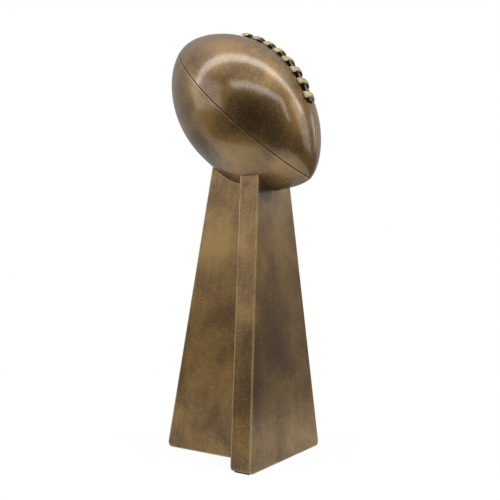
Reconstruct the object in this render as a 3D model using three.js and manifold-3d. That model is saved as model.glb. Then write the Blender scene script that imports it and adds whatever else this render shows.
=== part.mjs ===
// Football tower trophy: an American football standing on its point on a T-plan tapered tower,
// cast in bronze-filled resin. Millimetres, +Z up. The origin is on the surface the trophy stands
// on, straight below the ball's centre. -Y is the front, which the ball's lower end leans over.
import * as THREE from "three";
import { mergeVertices } from "three/addons/utils/BufferGeometryUtils.js";
import Module from "manifold-3d";

const wasm = await Module();
wasm.setup();

// ---------------------------------------------------------------- driving dimensions
const CLEARANCE = 0.3; // between pieces that touch
const CASTING_WALL = 4.5; // resin wall of the ball and the tower

const BALL_HALF_LENGTH = 90.3;
const BALL_RADIUS = 53.7;
const BALL_TAPER = 1.48; // 1 would be an ellipsoid; more makes the ends more pointed
const BALL_CENTRE_HEIGHT = 286.6;
const UNDERSIDE_SWELL = 0.095; // how far out of round the ball is below its lower tip
const SWELL_START = -5; // along the long axis, past the ball's middle
const SWELL_END = -75; // along the long axis, near the lower tip
const BALL_TILT = THREE.MathUtils.degToRad(45.7); // the long axis, above level, towards the back

const SLAB_FOOT_HALF_WIDTH = 53.15;
const SLAB_SIDE_LEAN = 0.126; // inward travel for each millimetre of height
const SLAB_FRONT_AT_FOOT = -41.6; // Y of the slab's front face at the foot
const SLAB_FRONT_LEAN = 0.0503;
const SLAB_THICKNESS = 17.7;

const STEM_FOOT_HALF_THICKNESS = 22.9;
const STEM_SIDE_LEAN = 0.05;
const STEM_BACK_AT_FOOT = 63.5; // Y of the stem's back face at the foot
const STEM_BACK_LEAN = 0.1574;

const FOOT_CORNER_RADIUS = 4; // rounded lower corners of both castings
const BLANK_TOP = 250; // the tower is cast up to here and cut away by the ball
const CAVITY_TOP = 186; // above this both castings are solid
const FOOT = 0.5; // lowest level of the castings, which the felt stands proud of
const FELT_THICKNESS = 1.2;
const PLATE_BOTTOM = FELT_THICKNESS + CLEARANCE;
const PLATE_THICKNESS = 3;
const PLATE_TOP = PLATE_BOTTOM + PLATE_THICKNESS;
const PLATE_INSET = 2.5; // plate and felt, in from the tower's outline

const LACE_COUNT = 8;
const LACE_SPACING = 11.9; // along the ball's long axis
const LACING_MIDDLE = -1.2; // along the ball's long axis, a little nearer its lower end
const LACE_WIDTH = 5.2;
const LACE_HEIGHT = 4.2; // crest above the ball
const LACE_THICKNESS = 2;
const LACE_END_DROP = 2.6; // how much lower a cross lace's ends are than its crest
const LACE_HALF_ANGLE = THREE.MathUtils.degToRad(8.6); // reach to each side of the ball's crest
const CORD_RADIUS = 1.4;
const CORD_LIFT = 0.6; // the cord's centre, above the ball's surface
const CORD_HALF_LENGTH = 45.6;
const CHANNEL_HALF_WIDTH = 5.6;
const CHANNEL_HALF_LENGTH = 46.6;
const CHANNEL_DEPTH = 2.4;

const STUD_Y = 7; // the stud stands over the middle of the stem's head
const STUD_RADIUS = 3;
const STUD_HOLE_RADIUS = STUD_RADIUS + CLEARANCE;
const STUD_BOSS_RADIUS = 9;
const STUD_BOSS_TOP = 236; // flat seat inside the ball
const STUD_OVERHANG = 4; // thread left standing beyond each nut
const NUT_ACROSS_FLATS = 10;
const NUT_HEIGHT = 5;
const WASHER_RADIUS = 6;
const WASHER_THICKNESS = 1.6;

const DOWEL_RADIUS = 2.5;
const DOWEL_LENGTH = 12;
const DOWEL_HEIGHTS = { lower: 60, upper: 150 };

const SCREW_RADIUS = 1.5;
const SCREW_HEAD_RADIUS = 3;
const SCREW_HEAD_HEIGHT = 1.6;
const SCREW_LENGTH = 12;
const SCREW_BOSS_RADIUS = 5;
const SCREW_BOSS_HEIGHT = 14;
const SCREW_PLACES = [[-34, -32.5], [34, -32.5], [-14, 50], [14, 50]]; // X, Y

const FRONT_BALLAST = [56, 6.4, 26]; // width, depth, height
const FRONT_BALLAST_Y = -32;
const REAR_BALLAST = [30, 42, 22];
const REAR_BALLAST_Y = 14;

const ROUND_SIDES = 16; // sides of a small round piece
const BALL_RINGS = 30; // facets from tip to tip
const BALL_SIDES = 40; // facets round the ball
const LACE_STEPS = 10; // facets along a cross lace
const CORD_STEPS = 18; // facets along the lengthwise lace
const SECTION_STEPS = 4; // facets in half of a lace's section
const CORNER_STEPS = 4; // facets in a rounded corner
const MERGE_DISTANCE = 1e-4; // vertices closer than this are one vertex

// ---------------------------------------------------------------- materials
function bronzeResin() {
  return new THREE.MeshStandardMaterial({ color: 0x86694a, roughness: 0.4, metalness: 0.6 });
}

function laceResin() {
  return new THREE.MeshStandardMaterial({ color: 0xcdb98c, roughness: 0.5, metalness: 0.5 });
}

function zincSteel() {
  return new THREE.MeshStandardMaterial({ color: 0xb4b7ba, roughness: 0.35, metalness: 1 });
}

function castIron() {
  return new THREE.MeshStandardMaterial({ color: 0x3c3c3d, roughness: 0.8, metalness: 0.8 });
}

function beechwood() {
  return new THREE.MeshStandardMaterial({ color: 0xc9a878, roughness: 0.8, metalness: 0 });
}

function hardboard() {
  return new THREE.MeshStandardMaterial({ color: 0x5b4330, roughness: 0.85, metalness: 0 });
}

function blackFelt() {
  return new THREE.MeshStandardMaterial({ color: 0x17181a, roughness: 1, metalness: 0 });
}

// ---------------------------------------------------------------- solids and booleans
function toSolid(geometry) {
  const bare = geometry.clone();
  bare.deleteAttribute("normal");
  bare.deleteAttribute("uv");
  const merged = mergeVertices(bare, MERGE_DISTANCE);
  const corners = merged.index.array;
  const kept = [];
  for (let i = 0; i < corners.length; i += 3) {
    const [a, b, c] = corners.slice(i, i + 3);
    if (a !== b && b !== c && c !== a) {
      kept.push(a, b, c);
    }
  }
  const vertProperties = new Float32Array(merged.attributes.position.array);
  const triVerts = new Uint32Array(kept);
  return new wasm.Manifold(new wasm.Mesh({ numProp: 3, vertProperties, triVerts }));
}

function toGeometry(solid) {
  const mesh = solid.getMesh();
  const geometry = new THREE.BufferGeometry();
  geometry.setAttribute("position", new THREE.BufferAttribute(mesh.vertProperties, 3));
  geometry.setIndex(new THREE.BufferAttribute(mesh.triVerts, 1));
  geometry.computeVertexNormals();
  return geometry;
}

function cut(geometry, ...tools) {
  let solid = toSolid(geometry);
  for (const tool of tools) {
    solid = solid.subtract(toSolid(tool));
  }
  return toGeometry(solid);
}

function keepInside(geometry, region) {
  return toGeometry(toSolid(geometry).intersect(toSolid(region)));
}

function block(width, depth, height, x, y, z) {
  return new THREE.BoxGeometry(width, depth, height).translate(x, y, z);
}

// An upright cylinder, given by its lowest and highest level.
function post(radius, low, high, x, y, sides = ROUND_SIDES) {
  const geometry = new THREE.CylinderGeometry(radius, radius, high - low, sides);
  return geometry.rotateX(Math.PI / 2).translate(x, y, (low + high) / 2);
}

// A closed polygon, with the given corners rounded. Each corner is [x, y, radius].
function roundedOutline(corners) {
  const shape = new THREE.Shape();
  corners.forEach(([x, y, radius], i) => {
    const corner = new THREE.Vector2(x, y);
    const before = corners[(i + corners.length - 1) % corners.length];
    const after = corners[(i + 1) % corners.length];
    const start = corner.clone().add(new THREE.Vector2(before[0] - x, before[1] - y).setLength(radius));
    const end = corner.clone().add(new THREE.Vector2(after[0] - x, after[1] - y).setLength(radius));
    if (i === 0) {
      shape.moveTo(start.x, start.y);
    } else {
      shape.lineTo(start.x, start.y);
    }
    if (radius > 0) {
      shape.quadraticCurveTo(x, y, end.x, end.y);
    }
  });
  shape.closePath();
  return shape;
}

// ---------------------------------------------------------------- football
// The ball's own frame: +Y along its long axis to the upper end, +Z towards the lacing.
function ballRadiusAt(along) {
  return BALL_RADIUS * (1 - (along / BALL_HALF_LENGTH) ** 2) ** (BALL_TAPER / 2);
}

function ballSlopeAt(along) {
  const step = 0.01;
  return (ballRadiusAt(along + step) - ballRadiusAt(along - step)) / (2 * step);
}

// Below the side seams the ball grows fuller towards its lower tip.
function swellBelowSeam(geometry) {
  const places = geometry.attributes.position;
  for (let i = 0; i < places.count; i += 1) {
    if (places.getZ(i) < 0) {
      const share = THREE.MathUtils.smoothstep(-places.getY(i), -SWELL_START, -SWELL_END);
      places.setZ(i, places.getZ(i) * (1 + UNDERSIDE_SWELL * share));
    }
  }
  return geometry;
}

// The whole ball, grown outwards by an offset, or shrunk by a negative one.
function ballGeometry(offset) {
  const profile = [];
  for (let i = 0; i <= BALL_RINGS; i += 1) {
    const angle = (Math.PI * i) / BALL_RINGS;
    const radius = (BALL_RADIUS + offset) * Math.sin(angle) ** BALL_TAPER;
    const along = -(BALL_HALF_LENGTH + offset) * Math.cos(angle);
    profile.push(new THREE.Vector2(i === 0 || i === BALL_RINGS ? 0 : radius, along));
  }
  return swellBelowSeam(new THREE.LatheGeometry(profile, BALL_SIDES));
}

// A ball geometry moved from the ball's own frame to the trophy's.
function onTower(geometry) {
  return geometry.rotateX(BALL_TILT).translate(0, 0, BALL_CENTRE_HEIGHT);
}

// Everything on one side of the side seams: +1 is the laced half, -1 the lower one.
function ballHalfSpace(side) {
  const size = 4 * BALL_RADIUS;
  return block(size, size, size, 0, 0, side * (size / 2 + CLEARANCE / 2));
}

function laceChannel() {
  const w = CHANNEL_HALF_WIDTH;
  const l = CHANNEL_HALF_LENGTH;
  const outline = roundedOutline([[-w, -l, w / 2], [w, -l, w / 2], [w, l, w / 2], [-w, l, w / 2]]);
  const shaft = new THREE.ExtrudeGeometry(outline, {
    depth: 2 * BALL_RADIUS,
    bevelEnabled: false,
    curveSegments: CORNER_STEPS,
  });
  shaft.translate(0, LACING_MIDDLE, 0);
  return cut(shaft, ballGeometry(-CHANNEL_DEPTH));
}

function upperShell() {
  const shell = cut(ballGeometry(0), ballGeometry(-CASTING_WALL), laceChannel());
  return keepInside(shell, ballHalfSpace(1));
}

// A flat-topped boss inside the lower shell gives the stud's washer a level seat.
function lowerShell() {
  const boss = post(STUD_BOSS_RADIUS, 0, STUD_BOSS_TOP, 0, STUD_Y);
  const hollow = cut(onTower(ballGeometry(-CASTING_WALL)), boss);
  const hole = post(STUD_HOLE_RADIUS, 0, BALL_CENTRE_HEIGHT, 0, STUD_Y);
  return cut(onTower(keepInside(ballGeometry(0), ballHalfSpace(-1))), hollow, hole);
}

// ---------------------------------------------------------------- lacing
class CrestCurve extends THREE.Curve {
  constructor(halfLength, lift) {
    super();
    this.halfLength = halfLength;
    this.lift = lift;
  }

  getPoint(t, target = new THREE.Vector3()) {
    const along = LACING_MIDDLE + (2 * t - 1) * this.halfLength;
    return target.set(0, along, ballRadiusAt(along) + this.lift);
  }
}

// The lengthwise lace runs over the channel, most of it standing above the ball.
function laceCordGeometry(grow) {
  const section = new THREE.Shape().absarc(0, 0, CORD_RADIUS + grow, 0, 2 * Math.PI);
  return new THREE.ExtrudeGeometry(section, {
    steps: CORD_STEPS,
    curveSegments: SECTION_STEPS,
    extrudePath: new CrestCurve(CORD_HALF_LENGTH + grow, CORD_LIFT),
  });
}

// A cross lace arches over the channel and comes down on the ball at both sides.
class ArchCurve extends THREE.Curve {
  constructor(ballBend) {
    super();
    this.ballBend = ballBend;
  }

  getPoint(t, target = new THREE.Vector3()) {
    const turn = 2 * t - 1;
    const angle = turn * LACE_HALF_ANGLE;
    const lift = LACE_HEIGHT - LACE_THICKNESS / 2 - LACE_END_DROP * turn ** 2;
    const radius = this.ballBend + lift;
    return target.set(radius * Math.sin(angle), 0, radius * Math.cos(angle) - this.ballBend);
  }
}

function crossLaceGeometry(along) {
  const slope = Math.atan(ballSlopeAt(along));
  const ballBend = ballRadiusAt(along) / Math.cos(slope); // the ball's radius across its crest here
  const section = new THREE.Shape();
  section.absellipse(0, 0, LACE_WIDTH / 2, LACE_THICKNESS / 2, 0, 2 * Math.PI);
  const band = new THREE.ExtrudeGeometry(section, {
    steps: LACE_STEPS,
    curveSegments: SECTION_STEPS,
    extrudePath: new ArchCurve(ballBend),
  });
  return band.rotateX(slope).translate(0, along, ballRadiusAt(along));
}

// ---------------------------------------------------------------- tower
// Moves each point sideways in proportion to its height.
function warp(geometry, move) {
  const position = geometry.attributes.position;
  for (let i = 0; i < position.count; i += 1) {
    const [x, y] = move(position.getX(i), position.getY(i), position.getZ(i));
    position.setXY(i, x, y);
  }
  return geometry;
}

function slabHalfWidth(height) {
  return SLAB_FOOT_HALF_WIDTH - SLAB_SIDE_LEAN * height;
}

function slabFront(height) {
  return SLAB_FRONT_AT_FOOT + SLAB_FRONT_LEAN * height;
}

function slabBack(height) {
  return slabFront(height) + SLAB_THICKNESS;
}

function stemHalfThickness(height) {
  return STEM_FOOT_HALF_THICKNESS - STEM_SIDE_LEAN * height;
}

function stemBack(height) {
  return STEM_BACK_AT_FOOT - STEM_BACK_LEAN * height;
}

// The slab's block between two levels, drawn in by an inset on all its upright faces.
function slabBlock(low, high, inset, cornerRadius) {
  const outline = roundedOutline([
    [-slabHalfWidth(low) + inset, low, cornerRadius],
    [slabHalfWidth(low) - inset, low, cornerRadius],
    [slabHalfWidth(high) - inset, high, 0],
    [-slabHalfWidth(high) + inset, high, 0],
  ]);
  const depth = SLAB_THICKNESS - 2 * inset;
  const geometry = new THREE.ExtrudeGeometry(outline, {
    depth,
    bevelEnabled: false,
    curveSegments: CORNER_STEPS,
  });
  geometry.rotateX(Math.PI / 2).translate(0, depth + inset, 0);
  return warp(geometry, (x, y, z) => [x, y + slabFront(z)]);
}

// The stem's block, from the slab's back face (plus a gap) to its own back face.
function stemBlock(low, high, inset, cornerRadius, gap) {
  const outline = roundedOutline([
    [slabBack(low) + gap + inset, low, 0],
    [stemBack(low) - inset, low, cornerRadius],
    [stemBack(high) - inset, high, 0],
    [slabBack(high) + gap + inset, high, 0],
  ]);
  const geometry = new THREE.ExtrudeGeometry(outline, {
    depth: 2,
    bevelEnabled: false,
    curveSegments: CORNER_STEPS,
  });
  geometry.translate(0, 0, -1).applyMatrix4(new THREE.Matrix4().set(
    0, 0, 1, 0,
    1, 0, 0, 0,
    0, 1, 0, 0,
    0, 0, 0, 1,
  ));
  return warp(geometry, (x, y, z) => [x * (stemHalfThickness(z) - inset), y]);
}

function dowelHole(height) {
  const hole = dowelGeometry(height, DOWEL_RADIUS + CLEARANCE, DOWEL_LENGTH + 2 * CLEARANCE);
  return hole.translate(0, slabBack(height) + CLEARANCE / 2, 0);
}

function dowelGeometry(height, radius, length) {
  return new THREE.CylinderGeometry(radius, radius, length, ROUND_SIDES).translate(0, 0, height);
}

function screwBosses(places) {
  return places.map(([x, y]) => post(SCREW_BOSS_RADIUS, PLATE_TOP, PLATE_TOP + SCREW_BOSS_HEIGHT, x, y));
}

function screwHoles(places) {
  const top = PLATE_BOTTOM + SCREW_LENGTH + 2 * CLEARANCE;
  return places.map(([x, y]) => post(SCREW_RADIUS + CLEARANCE, 0, top, x, y));
}

// The base plate and the felt sit in this recess, within the castings' rims.
function plateRecess() {
  return tPlate(0, PLATE_TOP + CLEARANCE, PLATE_INSET - CLEARANCE);
}

// A solid head above the cavity carries the ball; wooden dowels need solid pads to sit in.
function frontSlab() {
  const places = SCREW_PLACES.slice(0, 2);
  const hollow = slabBlock(0, CAVITY_TOP, CASTING_WALL, 0);
  const cavity = cut(hollow, ...screwBosses(places), ...dowelPads());
  return cut(
    slabBlock(FOOT, BLANK_TOP, 0, FOOT_CORNER_RADIUS),
    cavity,
    onTower(ballGeometry(CLEARANCE)),
    plateRecess(),
    ...screwHoles(places),
    ...Object.values(DOWEL_HEIGHTS).map(dowelHole),
  );
}

function rearStem() {
  const places = SCREW_PLACES.slice(2);
  const hollow = stemBlock(0, CAVITY_TOP, CASTING_WALL, 0, CLEARANCE);
  const cavity = cut(hollow, ...screwBosses(places), ...dowelPads());
  return cut(
    stemBlock(FOOT, BLANK_TOP, 0, FOOT_CORNER_RADIUS, CLEARANCE),
    cavity,
    onTower(ballGeometry(CLEARANCE)),
    plateRecess(),
    post(STUD_HOLE_RADIUS, CAVITY_TOP - CLEARANCE, BALL_CENTRE_HEIGHT, 0, STUD_Y),
    ...screwHoles(places),
    ...Object.values(DOWEL_HEIGHTS).map(dowelHole),
  );
}

function dowelPads() {
  return Object.values(DOWEL_HEIGHTS).map((height) => {
    const length = DOWEL_LENGTH + 2 * CASTING_WALL;
    return dowelGeometry(height, 2 * DOWEL_RADIUS, length).translate(0, slabBack(height), 0);
  });
}

// ---------------------------------------------------------------- base
// A T-shaped sheet under both castings, drawn in from the tower's outline at the foot.
function tPlate(low, high, inset) {
  const wide = SLAB_FOOT_HALF_WIDTH - inset;
  const narrow = STEM_FOOT_HALF_THICKNESS - inset;
  const front = SLAB_FRONT_AT_FOOT + inset;
  const step = SLAB_FRONT_AT_FOOT + SLAB_THICKNESS - inset;
  const back = STEM_BACK_AT_FOOT - inset;
  const outline = new THREE.Shape([
    new THREE.Vector2(-wide, front),
    new THREE.Vector2(wide, front),
    new THREE.Vector2(wide, step),
    new THREE.Vector2(narrow, step),
    new THREE.Vector2(narrow, back),
    new THREE.Vector2(-narrow, back),
    new THREE.Vector2(-narrow, step),
    new THREE.Vector2(-wide, step),
  ]);
  const sheet = new THREE.ExtrudeGeometry(outline, { depth: high - low, bevelEnabled: false });
  return sheet.translate(0, 0, low);
}

function basePlate() {
  const holes = SCREW_PLACES.map(([x, y]) => screwGeometry(CLEARANCE).translate(x, y, PLATE_BOTTOM));
  return cut(tPlate(PLATE_BOTTOM, PLATE_TOP, PLATE_INSET), ...holes);
}

// A countersunk screw pointing up, its head's face at level zero.
function screwGeometry(grow) {
  const profile = [
    new THREE.Vector2(0, -grow),
    new THREE.Vector2(SCREW_HEAD_RADIUS + grow, -grow),
    new THREE.Vector2(SCREW_HEAD_RADIUS + grow, 0),
    new THREE.Vector2(SCREW_RADIUS + grow, SCREW_HEAD_HEIGHT),
    new THREE.Vector2(SCREW_RADIUS + grow, SCREW_LENGTH),
    new THREE.Vector2(0, SCREW_LENGTH + grow),
  ];
  const kept = grow > 0 ? profile : profile.filter((point, i) => i !== 2);
  return new THREE.LatheGeometry(kept, ROUND_SIDES / 2).rotateX(Math.PI / 2);
}

// ---------------------------------------------------------------- stud, nuts and washers
function ringGeometry(radius, low, high, sides) {
  return cut(
    post(radius, low, high, 0, STUD_Y, sides),
    post(STUD_HOLE_RADIUS, low - 1, high + 1, 0, STUD_Y),
  );
}

function nutGeometry(low) {
  const acrossCorners = NUT_ACROSS_FLATS / Math.cos(Math.PI / 6);
  return ringGeometry(acrossCorners / 2, low, low + NUT_HEIGHT, 6);
}

function washerGeometry(low) {
  return ringGeometry(WASHER_RADIUS, low, low + WASHER_THICKNESS, ROUND_SIDES);
}

// ---------------------------------------------------------------- assembly
const trophy = new THREE.Group();

function addPiece(parent, name, geometry, material) {
  const mesh = new THREE.Mesh(geometry, material);
  mesh.name = name;
  parent.add(mesh);
  return mesh;
}

function addFootball(parent) {
  const ball = new THREE.Group();
  ball.position.z = BALL_CENTRE_HEIGHT;
  ball.rotation.x = BALL_TILT;
  parent.add(ball);
  addPiece(ball, "football_upper_shell", upperShell(), bronzeResin());
  addPiece(parent, "football_lower_shell", lowerShell(), bronzeResin());
  addPiece(ball, "lace_cord", laceCordGeometry(0), laceResin());
  for (let i = 0; i < LACE_COUNT; i += 1) {
    const along = LACING_MIDDLE + (i - (LACE_COUNT - 1) / 2) * LACE_SPACING;
    const lace = cut(crossLaceGeometry(along), ballGeometry(CLEARANCE), laceCordGeometry(CLEARANCE));
    addPiece(ball, `lace_cross_${i + 1}`, lace, laceResin());
  }
}

function addTower(parent) {
  addPiece(parent, "tower_front_slab", frontSlab(), bronzeResin());
  addPiece(parent, "tower_rear_stem", rearStem(), bronzeResin());
  for (const [place, height] of Object.entries(DOWEL_HEIGHTS)) {
    const dowel = addPiece(
      parent,
      `slab_dowel_${place}`,
      dowelGeometry(height, DOWEL_RADIUS, DOWEL_LENGTH),
      beechwood(),
    );
    dowel.position.y = slabBack(height) + CLEARANCE / 2;
  }
}

function addStud(parent) {
  const upperWasher = STUD_BOSS_TOP + CLEARANCE;
  const upperNut = upperWasher + WASHER_THICKNESS + CLEARANCE;
  const lowerWasher = CAVITY_TOP - CLEARANCE - WASHER_THICKNESS;
  const lowerNut = lowerWasher - CLEARANCE - NUT_HEIGHT;
  const studTop = upperNut + NUT_HEIGHT + STUD_OVERHANG;
  const studFoot = lowerNut - STUD_OVERHANG;
  addPiece(parent, "mounting_stud", post(STUD_RADIUS, studFoot, studTop, 0, STUD_Y), zincSteel());
  addPiece(parent, "stud_washer_upper", washerGeometry(upperWasher), zincSteel());
  addPiece(parent, "stud_nut_upper", nutGeometry(upperNut), zincSteel());
  addPiece(parent, "stud_washer_lower", washerGeometry(lowerWasher), zincSteel());
  addPiece(parent, "stud_nut_lower", nutGeometry(lowerNut), zincSteel());
}

function addBase(parent) {
  const ballastFoot = PLATE_TOP + CLEARANCE;
  const bar = block(...FRONT_BALLAST, 0, FRONT_BALLAST_Y, ballastFoot + FRONT_BALLAST[2] / 2);
  const rear = block(...REAR_BALLAST, 0, REAR_BALLAST_Y, ballastFoot + REAR_BALLAST[2] / 2);
  addPiece(parent, "front_ballast_bar", bar, castIron());
  addPiece(parent, "rear_ballast_block", rear, castIron());
  addPiece(parent, "base_plate", basePlate(), hardboard());
  SCREW_PLACES.forEach(([x, y], i) => {
    const screw = addPiece(parent, `base_screw_${i + 1}`, screwGeometry(0), zincSteel());
    screw.position.set(x, y, PLATE_BOTTOM);
  });
  addPiece(parent, "felt_pad", tPlate(0, FELT_THICKNESS, PLATE_INSET), blackFelt());
}

addFootball(trophy);
addTower(trophy);
addStud(trophy);
addBase(trophy);

export default trophy;
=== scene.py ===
"""Looks of the football tower trophy, an American football on a T-plan tower in aged bronze.

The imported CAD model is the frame. The ball's shells, the lacing, the tower castings and the felt
are rebuilt here as detailed meshes; the hidden hardware keeps its CAD shape. Metres, +Z up,
-Y front. The ball's own frame has its origin at the ball's centre, +Y along its long axis to the
upper end and +Z towards the lacing.
"""
import math

import bmesh
import bpy
import numpy as np
from mathutils import Matrix, Vector


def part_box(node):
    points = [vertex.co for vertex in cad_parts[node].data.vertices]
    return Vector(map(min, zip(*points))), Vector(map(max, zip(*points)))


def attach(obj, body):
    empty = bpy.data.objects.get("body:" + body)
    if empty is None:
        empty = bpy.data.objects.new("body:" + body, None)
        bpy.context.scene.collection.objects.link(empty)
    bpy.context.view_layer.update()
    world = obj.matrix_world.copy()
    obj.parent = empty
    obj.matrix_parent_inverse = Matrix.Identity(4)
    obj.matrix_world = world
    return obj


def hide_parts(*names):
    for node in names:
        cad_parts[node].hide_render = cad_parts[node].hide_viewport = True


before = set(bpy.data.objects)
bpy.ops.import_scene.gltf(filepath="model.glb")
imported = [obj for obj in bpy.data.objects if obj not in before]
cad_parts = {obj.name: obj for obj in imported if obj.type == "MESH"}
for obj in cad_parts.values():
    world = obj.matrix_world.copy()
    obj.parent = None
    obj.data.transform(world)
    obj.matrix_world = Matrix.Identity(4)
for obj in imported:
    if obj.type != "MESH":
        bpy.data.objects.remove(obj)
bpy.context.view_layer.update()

MM = 0.001

# ---------------------------------------------------------------- driving dimensions
CLEARANCE = 0.3 * MM
CASTING_WALL = 4.5 * MM

BALL_HALF_LENGTH = 90.3 * MM
BALL_RADIUS = 53.7 * MM
BALL_TAPER = 1.48
UNDERSIDE_SWELL = 0.095  # how much fuller the ball's underside gets towards its lower tip
SWELL_START = -5 * MM
SWELL_END = -75 * MM
BALL_TILT = math.radians(45.7)
SEAM_ROLL = 0.3 * MM  # rounding of the shells' meeting edges
UPPER_LIP_WEAR = 0.15  # rubbed lip of each shell by the seam; the lower lip is also a painted highlight
LOWER_LIP_WEAR_AND_SHEEN = 0.9
LIP_WEAR_AND_SHEEN_AT = 0.7 * MM  # how far from the seam the rubbing and the painted highlight are strongest
LIP_WEAR_AND_SHEEN_REACH = 0.35 * MM
SEAM_GRIME = 0.8
SEAM_GRIME_REACH = 0.3 * MM
PANEL_GROOVE_DEPTH = 0.4 * MM
PANEL_GROOVE_HALF_WIDTH = 0.6 * MM

CHANNEL_HALF_WIDTH = 5.6 * MM
CHANNEL_HALF_LENGTH = 46.6 * MM
CHANNEL_CORNER = 2.8 * MM
CHANNEL_DEPTH = 2.4 * MM
CHANNEL_WALL = 0.5 * MM  # the width of the channel's sloping side

LACE_COUNT = 8
LACE_SPACING = 11.9 * MM
LACING_MIDDLE = -1.2 * MM  # along the ball, towards its lower end
LACE_HALF_ANGLE = math.radians(8.6)
LACE_HALF_WIDTH = 2.7 * MM
LACE_HALF_THICKNESS = 1.0 * MM
LACE_CREST = 4.2 * MM
LACE_END_DROP = 2.5 * MM
LACE_WAIST = 0.86  # its width at the crest, as a share of LACE_HALF_WIDTH
LACE_FLARE = 0.34  # how much wider it gets towards its ends
LACE_THINNING = 0.35  # how much thinner it gets towards its ends
LACE_ROUND_END = 0.08  # the share of its half length that rounds off
LACE_UNEVEN = 0.25 * MM  # how far a lace strays from straight
LACE_REACH = 0.985 * LACE_HALF_ANGLE  # where its ends stop, round the ball from the crest
DIMPLE_ANGLE = 1.14 * LACE_HALF_ANGLE
DIMPLE_RADIUS = 1.3 * MM
DIMPLE_DEPTH = 0.5 * MM
CORD_HALF_LENGTH = 45.6 * MM
CORD_HALF_WIDTH = 2.0 * MM
CORD_HALF_HEIGHT = 1.4 * MM
CORD_LIFT = 0.6 * MM  # the cord's centre, above the ball's surface
CORD_ROUND_END = 0.045  # the share of its half length that rounds off
CORD_SWAY = 0.2 * MM
KNOB_FROM_END = 2 * MM
KNOB_LENGTH = 2.4 * MM

SLAB_SIDE_LEAN = 0.126
SLAB_FRONT_LEAN = 0.0503
SLAB_THICKNESS = 17.7 * MM
STEM_SIDE_LEAN = 0.05
STEM_BACK_LEAN = 0.1574
STEM_TRUE_EDGE = 3 * MM  # this near a face of the stem, a depth is measured from that face
FOOT_CORNER = 4.0 * MM
CASTING_ROLL = 0.7 * MM  # rounding of the castings' edges
BELOW_BALL = 150 * MM  # a height that is surely below the ball
TOP_GUESS = 190 * MM  # about where the castings stop
FELT_FRAY = 0.12 * MM
FELT_LAYERS = (  # share of the thickness, and inset of the edge
    (0.0, 0.5 * MM), (0.12, 0.2 * MM), (0.35, 0.0), (0.7, 0.0), (0.9, 0.2 * MM), (1.0, 0.5 * MM),
)

# ---------------------------------------------------------------- fineness of the meshes
BALL_FINE_STEP = 0.6 * MM
BALL_FINE_END = 56 * MM  # the rows are close together up to here along the ball
TIP_ROWS = 36
BETWEEN_COLUMNS = 28
INNER_COLUMNS = 33
BAND_CORNERS = 20
LACE_STEPS = 44
CORD_STEPS = 240
CORNER_STEPS = 9
BOTTOM_STEPS = 22
SIDE_STEPS = 62
HEAD_STEPS = 50
FELT_STEP = 1.5 * MM


# ---------------------------------------------------------------- places taken from the frame
def ball_radius(along):
    """The ball's radius at a place along its axis."""
    share = np.clip(1 - (along / BALL_HALF_LENGTH) ** 2, 0, 1)
    return BALL_RADIUS * share ** (BALL_TAPER / 2)


def ball_rise():
    """How far the ball's highest point is above its centre."""
    along = np.linspace(0, BALL_HALF_LENGTH, 1000)
    height = along * math.sin(BALL_TILT) + ball_radius(along) * math.cos(BALL_TILT)
    return height.max()


shell_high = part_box("football_upper_shell")[1]
slab_low, slab_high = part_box("tower_front_slab")
stem_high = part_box("tower_rear_stem")[1]
felt_low, felt_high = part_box("felt_pad")

BALL_CENTRE = Vector((0, 0, shell_high[2] - ball_rise()))
BALL_TO_TROPHY = Matrix.Translation(BALL_CENTRE) @ Matrix.Rotation(BALL_TILT, 4, "X")
FOOT = slab_low[2]
SLAB_FOOT_HALF_WIDTH = slab_high[0] + SLAB_SIDE_LEAN * FOOT
SLAB_FRONT_AT_FOOT = slab_low[1] - SLAB_FRONT_LEAN * FOOT
STEM_FOOT_HALF_THICKNESS = stem_high[0] + STEM_SIDE_LEAN * FOOT
STEM_BACK_AT_FOOT = stem_high[1] + STEM_BACK_LEAN * FOOT


# ---------------------------------------------------------------- mesh helpers
def smoothstep(low, high, value):
    t = np.clip((value - low) / (high - low), 0, 1)
    return t * t * (3 - 2 * t)


def new_piece(name, points, faces, attributes, material, replaces, sharp_angle=42):
    """A piece of the trophy, from points in the trophy's frame, that stands for CAD nodes."""
    mesh = bpy.data.meshes.new(name)
    mesh.from_pydata([tuple(point) for point in points], [], faces)
    for key, values in attributes.items():
        layer = mesh.attributes.new(key, "FLOAT", "POINT")
        layer.data.foreach_set("value", np.asarray(values, np.float32))
    tidy = bmesh.new()
    tidy.from_mesh(mesh)
    bmesh.ops.recalc_face_normals(tidy, faces=tidy.faces)
    tidy.to_mesh(mesh)
    tidy.free()
    mesh.shade_smooth()
    mesh.set_sharp_from_angle(angle=math.radians(sharp_angle))
    mesh.materials.append(material)
    piece = bpy.data.objects.new(name, mesh)
    bpy.context.scene.collection.objects.link(piece)
    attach(piece, "root")
    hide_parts(*replaces)
    return piece


def grid_faces(rows, columns, first=0):
    """Quads of a grid whose points are numbered row by row."""
    return [
        (first + r * columns + c, first + r * columns + c + 1,
         first + (r + 1) * columns + c + 1, first + (r + 1) * columns + c)
        for r in range(rows - 1)
        for c in range(columns - 1)
    ]


def stacked_faces(rings, size):
    """Quads between closed rings of equal size, and a face over the first and the last."""
    faces = [
        (r * size + i, r * size + (i + 1) % size,
         (r + 1) * size + (i + 1) % size, (r + 1) * size + i)
        for r in range(rings - 1)
        for i in range(size)
    ]
    faces.append(tuple(range(size)))
    faces.append(tuple(range((rings - 1) * size, rings * size)))
    return faces


def to_trophy(points):
    """Points in the ball's frame, moved to the trophy's."""
    turn = np.array(BALL_TO_TROPHY)
    return points @ turn[:3, :3].T + turn[:3, 3]


# ---------------------------------------------------------------- football
def underside_swell(along):
    """Below its seams the ball grows fuller towards its lower tip, by this factor."""
    return 1 + UNDERSIDE_SWELL * smoothstep(-SWELL_START, -SWELL_END, -along)


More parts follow.
